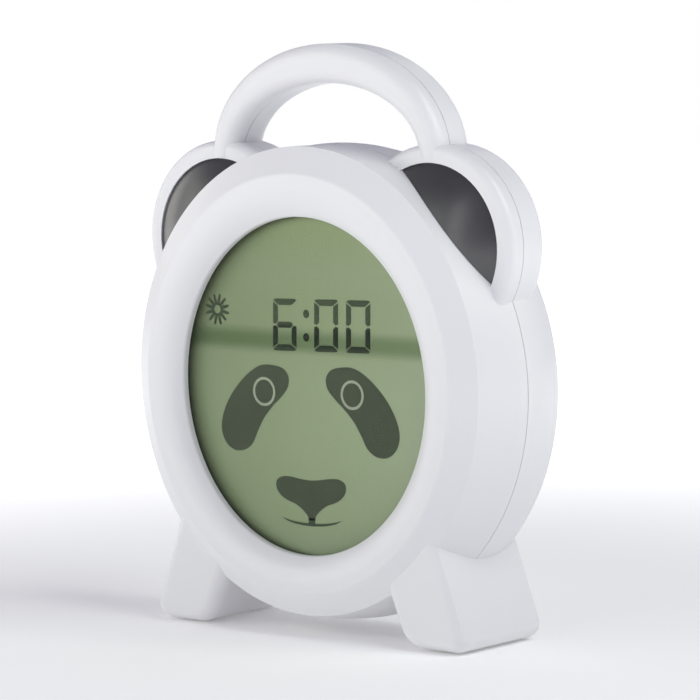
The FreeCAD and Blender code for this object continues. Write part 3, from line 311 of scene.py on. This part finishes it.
def flat_piece(name, outlines, holes, mat, lift=0.0, t=INK_T, turned=True):
    """Thin plate on the display: each outline is a closed list of (x, z) in mm, holes cut through them."""
    bm = bmesh.new()
    y1 = LCD_FRONT - 0.001 - lift
    y0 = y1 - t

    def ring_verts(pts, y):
        out = []
        for x, z in pts:
            if turned:
                x, z = tilt(x, z)
            out.append(bm.verts.new(P(x, y, z)))
        return out
    for o, hs in zip(outlines, holes):
        loops = [o] + hs
        sides = []
        for y, flip in ((y0, False), (y1, True)):
            vs_all, edges = [], []
            for lp in loops:
                vs = ring_verts(lp, y)
                vs_all.append(vs)
                edges += [bm.edges.new((vs[i], vs[(i + 1) % len(vs)])) for i in range(len(vs))]
            bmesh.ops.triangle_fill(bm, use_beauty=True, use_dissolve=False, edges=edges)
            sides.append(vs_all)
        for va, vb in zip(*sides):
            n = len(va)
            for i in range(n):
                bm.faces.new((va[i], va[(i + 1) % n], vb[(i + 1) % n], vb[i]))
    bmesh.ops.recalc_face_normals(bm, faces=bm.faces)
    me = bpy.data.meshes.new(name)
    bm.to_mesh(me)
    bm.free()
    ob = bpy.data.objects.new(name, me)
    bpy.context.scene.collection.objects.link(ob)
    me.materials.append(mat)
    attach(ob, "clock_body")
    return ob


def smooth_loop(ctrl, per=10):
    """Closed centripetal spline through given points."""
    n = len(ctrl)
    out = []
    for i in range(n):
        p0, p1, p2, p3 = (Vector(ctrl[(i + k - 1) % n]) for k in range(4))
        t = [0.0]
        for a, b in ((p0, p1), (p1, p2), (p2, p3)):
            t.append(t[-1] + max((b - a).length, 1e-6) ** 0.5)
        for k in range(per):
            u = t[1] + (t[2] - t[1]) * k / per
            a1 = p0 * ((t[1] - u) / (t[1] - t[0])) + p1 * ((u - t[0]) / (t[1] - t[0]))
            a2 = p1 * ((t[2] - u) / (t[2] - t[1])) + p2 * ((u - t[1]) / (t[2] - t[1]))
            a3 = p2 * ((t[3] - u) / (t[3] - t[2])) + p3 * ((u - t[2]) / (t[3] - t[2]))
            b1 = a1 * ((t[2] - u) / (t[2] - t[0])) + a2 * ((u - t[0]) / (t[2] - t[0]))
            b2 = a2 * ((t[3] - u) / (t[3] - t[1])) + a3 * ((u - t[1]) / (t[3] - t[1]))
            q = b1 * ((t[2] - u) / (t[2] - t[1])) + b2 * ((u - t[1]) / (t[2] - t[1]))
            out.append((q.x, q.y))
    return out


def circle(cx, cz, r, n=64, rz=None):
    rz = rz or r
    return [(cx + r * math.cos(2 * math.pi * i / n), cz + rz * math.sin(2 * math.pi * i / n)) for i in range(n)]


def mirror(pts):
    return [(-x, z) for x, z in pts]


# eye patch (right one), mouth and nose of the animal face: the builder's own control points
PATCH = [(14.0, 6.2), (18.6, 6.0), (23.0, 3.9), (27.6, 0.3), (31.7, -4.3), (34.6, -9.4), (35.6, -14.2),
         (34.2, -18.2), (30.8, -20.7), (26.6, -20.7), (23.1, -18.6), (20.7, -14.6), (17.8, -10.2), (14.0, -6.4),
         (10.2, -3.2), (7.9, -0.5), (7.4, 2.4), (9.2, 5.0)]
patch = smooth_loop(PATCH, 8)
EYE = (17.6, -2.15)
ring_hole = circle(EYE[0], EYE[1], 4.52, 72)
pupil = circle(EYE[0], EYE[1], 3.66, 72)
flat_piece("face_patches", [patch, mirror(patch), pupil, mirror(pupil)],
           [[ring_hole], [mirror(ring_hole)], [], []], INK_FACE)
flat_piece("face_eye_rings", [circle(EYE[0], EYE[1], 4.5, 72), circle(-EYE[0], EYE[1], 4.5, 72)],
           [[circle(EYE[0], EYE[1], 3.68, 72)], [circle(-EYE[0], EYE[1], 3.68, 72)]], INK_RING, t=INK_T * 0.6)
NOSE = [(0.0, -29.0), (4.0, -28.7), (8.2, -28.1), (11.6, -28.3), (13.7, -29.6), (13.9, -31.6), (12.6, -33.7), (9.6, -35.5),
        (6.4, -36.5), (4.2, -37.8), (2.4, -39.2), (1.45, -40.4)]
nose = smooth_loop(NOSE + [(1.35, -41.2), (-1.35, -41.2)] + [(-x, z) for x, z in NOSE[:0:-1]], 8)
stem = [(-1.35, -40.6), (1.35, -40.6), (1.3, -42.4), (-1.3, -42.4)]
flat_piece("face_nose", [nose], [[]], INK_FACE)
upper = [(-12.2, -40.75), (-9.4, -41.5), (-6.2, -42.0), (-3.0, -42.22), (0.0, -42.28), (3.0, -42.22), (6.2, -42.0), (9.4, -41.5), (12.2, -40.75)]
lower = [(9.6, -42.05), (6.4, -42.75), (3.2, -43.1), (0.0, -43.22), (-3.2, -43.1), (-6.4, -42.75), (-9.6, -42.05)]
flat_piece("face_mouth", [upper + lower, stem], [[], []], INK_FACE, lift=0.0)


# figures of the clock: seven-segment digits that lean slightly
def segments(x0, z0, w, h, lean, keys, t=2.0, gap=0.34):
    """Seven segments of a digit whose lower left corner is (x0, z0)."""
    def L(x, z):
        return (x0 + x + lean * z, z0 + z)
    m = h / 2.0
    g = gap / 2.0
    c = 0.75
    shapes = {
        "a": [(c + g, h), (w - c - g, h), (w - g * 0.3, h - c * 0.6), (w - t - g, h - t), (t + g, h - t), (g * 0.3, h - c * 0.6)],
        "d": [(c + g, 0), (w - c - g, 0), (w - g * 0.3, c * 0.6), (w - t - g, t), (t + g, t), (g * 0.3, c * 0.6)],
        "f": [(0, h - c - g), (t, h - t - g - 0.1), (t, m + t * 0.42 + g), (t * 0.5, m + g), (0, m + g + 0.35)],
        "b": [(w, h - c - g), (w - t, h - t - g - 0.1), (w - t, m + t * 0.42 + g), (w - t * 0.5, m + g), (w, m + g + 0.35)],
        "e": [(0, c + g), (t, t + g + 0.1), (t, m - t * 0.42 - g), (t * 0.5, m - g), (0, m - g - 0.35)],
        "c": [(w, c + g), (w - t, t + g + 0.1), (w - t, m - t * 0.42 - g), (w - t * 0.5, m - g), (w, m - g - 0.35)],
        "g": [(t * 0.62 + g, m), (t * 1.05 + g, m + t * 0.48), (w - t * 1.05 - g, m + t * 0.48), (w - t * 0.62 - g, m), (w - t * 1.05 - g, m - t * 0.48), (t * 1.05 + g, m - t * 0.48)],
    }
    return [[L(*p) for p in shapes[k]] for k in keys]


LEAN = 0.045
DIG_H, DIG_W = 16.1, 9.5
Z0 = 10.75
figs = segments(-13.35, Z0 - 0.05, DIG_W, DIG_H, LEAN, "acdefg") + segments(3.15, Z0 - 0.05, DIG_W, DIG_H, LEAN, "abcdef") + segments(15.75, Z0 - 0.1, DIG_W, DIG_H, LEAN, "abcdef")
dots = [circle(0.45, 22.25, 1.22, 32, 1.3), circle(0.15, 15.05, 1.22, 32, 1.3)]
flat_piece("clock_figures", figs + dots, [[] for _ in figs + dots], INK_DIGIT)

# sun sign
SUN = (-35.6, 23.0)
rays = []
for k in range(12):
    a = 2 * math.pi * k / 12 + 0.26
    ca, sa = math.cos(a), math.sin(a)
    r0, r1, w0, w1 = 2.4, 4.85, 0.62, 0.34
    rays.append([(SUN[0] + r0 * ca - w0 * sa, SUN[1] + r0 * sa + w0 * ca), (SUN[0] + r0 * ca + w0 * sa, SUN[1] + r0 * sa - w0 * ca),
                 (SUN[0] + r1 * ca + w1 * sa, SUN[1] + r1 * sa - w1 * ca), (SUN[0] + r1 * ca - w1 * sa, SUN[1] + r1 * sa + w1 * ca)])
flat_piece("sun_sign", [circle(SUN[0], SUN[1], 2.35, 48)] + rays, [[circle(SUN[0], SUN[1], 1.3, 40)]] + [[] for _ in rays], INK_DIGIT)

# ------------------------------------------------------------------ camera
a, e, roll = math.radians(39.466), math.radians(5.51), math.radians(-0.864)
bv = Vector((math.sin(a) * math.cos(e), -math.cos(a) * math.cos(e), math.sin(e)))
rv = Vector((math.cos(a), math.sin(a), 0.0))
uv = bv.cross(rv)
r2 = rv * math.cos(roll) + uv * math.sin(roll)
u2 = rv * -math.sin(roll) + uv * math.cos(roll)
C = bv * 1083.167 + r2 * 13.731 + u2 * 10.843
cam_data = bpy.data.cameras.new("camera")
cam = bpy.data.objects.new("camera", cam_data)
bpy.context.scene.collection.objects.link(cam)
cam_data.lens = 189.637
cam_data.sensor_width = 36.0
cam_data.sensor_fit = "HORIZONTAL"
cam_data.clip_start = 0.05
cam_data.clip_end = 60.0
M = Matrix((r2, u2, bv)).transposed().to_4x4()
M.translation = (C * 1.04 + Vector((0.0, Y_OFF, Z_OFF))) / 1000.0
cam.matrix_world = M
bpy.context.scene.camera = cam


# ------------------------------------------------------------------ floor, surroundings, lights
def floor():
    me = bpy.data.meshes.new("floor")
    s = 3.0
    me.from_pydata([(-s, -s, -0.0002), (s, -s, -0.0002), (s, s, -0.0002), (-s, s, -0.0002)], [], [(0, 1, 2, 3)])
    ob = bpy.data.objects.new("floor", me)
    bpy.context.scene.collection.objects.link(ob)
    m = Mat("floor_paper")
    m.b.inputs["Specular IOR Level"].default_value = 0.1
    m.link(m.ramp(m.noise(3.0, 2.0), [(0.3, (0.93, 0.93, 0.93)), (0.7, (0.95, 0.95, 0.95))]), m.b.inputs["Base Color"])
    m.b.inputs["Roughness"].default_value = 0.9
    # the paper glows: emission rising from 0.13 near the clock to 0.82 from 0.62 m out, so the sweep reads white
    m.b.inputs["Emission Color"].default_value = (1.0, 1.0, 1.0, 1.0)     # lit paper sweep
    far = m.node("ShaderNodeVectorMath", operation="LENGTH")
    m.link(m.coords(), far.inputs[0])
    m.link(m.span(far.outputs["Value"], 0.13, 0.82, 0.13, 0.62, smooth=True), m.b.inputs["Emission Strength"])
    me.materials.append(m.mat)
    return ob


floor()

world = bpy.data.worlds.new("surround")
bpy.context.scene.world = world
world.use_nodes = True
wn = world.node_tree
bg = wn.nodes["Background"]
# the surroundings look white, and send a soft lilac fill on to the clock
fill = wn.nodes.new("ShaderNodeBackground")
fill.inputs["Color"].default_value = (0.79, 0.73, 1.0, 1.0)
fill.inputs["Strength"].default_value = 0.285
bg.inputs["Color"].default_value = (1.0, 1.0, 1.0, 1.0)
bg.inputs["Strength"].default_value = 1.0
seen = wn.nodes.new("ShaderNodeLightPath")
both = wn.nodes.new("ShaderNodeMixShader")
wn.links.new(seen.outputs["Is Camera Ray"], both.inputs[0])
wn.links.new(fill.outputs[0], both.inputs[1])
wn.links.new(bg.outputs[0], both.inputs[2])
wn.links.new(both.outputs[0], wn.nodes["World Output"].inputs["Surface"])


def area(name, az, el, dist, w, h, power, color=(1, 1, 1), target=(0, 0, 0.085)):
    """Soft box. az is measured from the front (-Y), positive to the clock's right side as seen from the front."""
    L = bpy.data.lights.new(name, "AREA")
    L.shape = "RECTANGLE"
    L.size, L.size_y = w, h
    L.energy = power
    L.color = color
    ob = bpy.data.objects.new(name, L)
    bpy.context.scene.collection.objects.link(ob)
    t = Vector(target)
    ra, re = math.radians(az), math.radians(el)
    d = Vector((math.sin(ra) * math.cos(re), -math.cos(ra) * math.cos(re), math.sin(re)))
    ob.location = t + d * dist
    ob.rotation_euler = (-d).to_track_quat("-Z", "Y").to_euler()
    return ob


area("left_box", -60, 12, 1.3, 0.8, 0.8, 2.9, (1.0, 1.0, 0.88))
area("left_strip", -93, 14, 1.3, 0.26, 0.8, 1.3, (1.0, 1.0, 0.9))
area("right_high_box", 90, 48, 1.3, 0.8, 0.8, 8.0, (0.95, 1.0, 0.93))
area("front_left_box", -30, 12, 1.3, 0.8, 0.8, 3.4, (0.945, 1.0, 0.86))
area("front_strip", 4, 16, 1.3, 0.2, 0.9, 1.7, (1.0, 1.0, 1.0))
area("rear_right_box", 120, 12, 1.3, 0.8, 0.8, 2.0, (0.98, 1.0, 0.87))
area("rear_left_box", -150, 48, 1.3, 0.8, 0.8, 1.3, (0.9, 1.0, 0.9))

sc = bpy.context.scene
sc.view_settings.view_transform = "Standard"
sc.view_settings.look = "None"
sc.view_settings.exposure = 0.0
sc.view_settings.gamma = 1.0
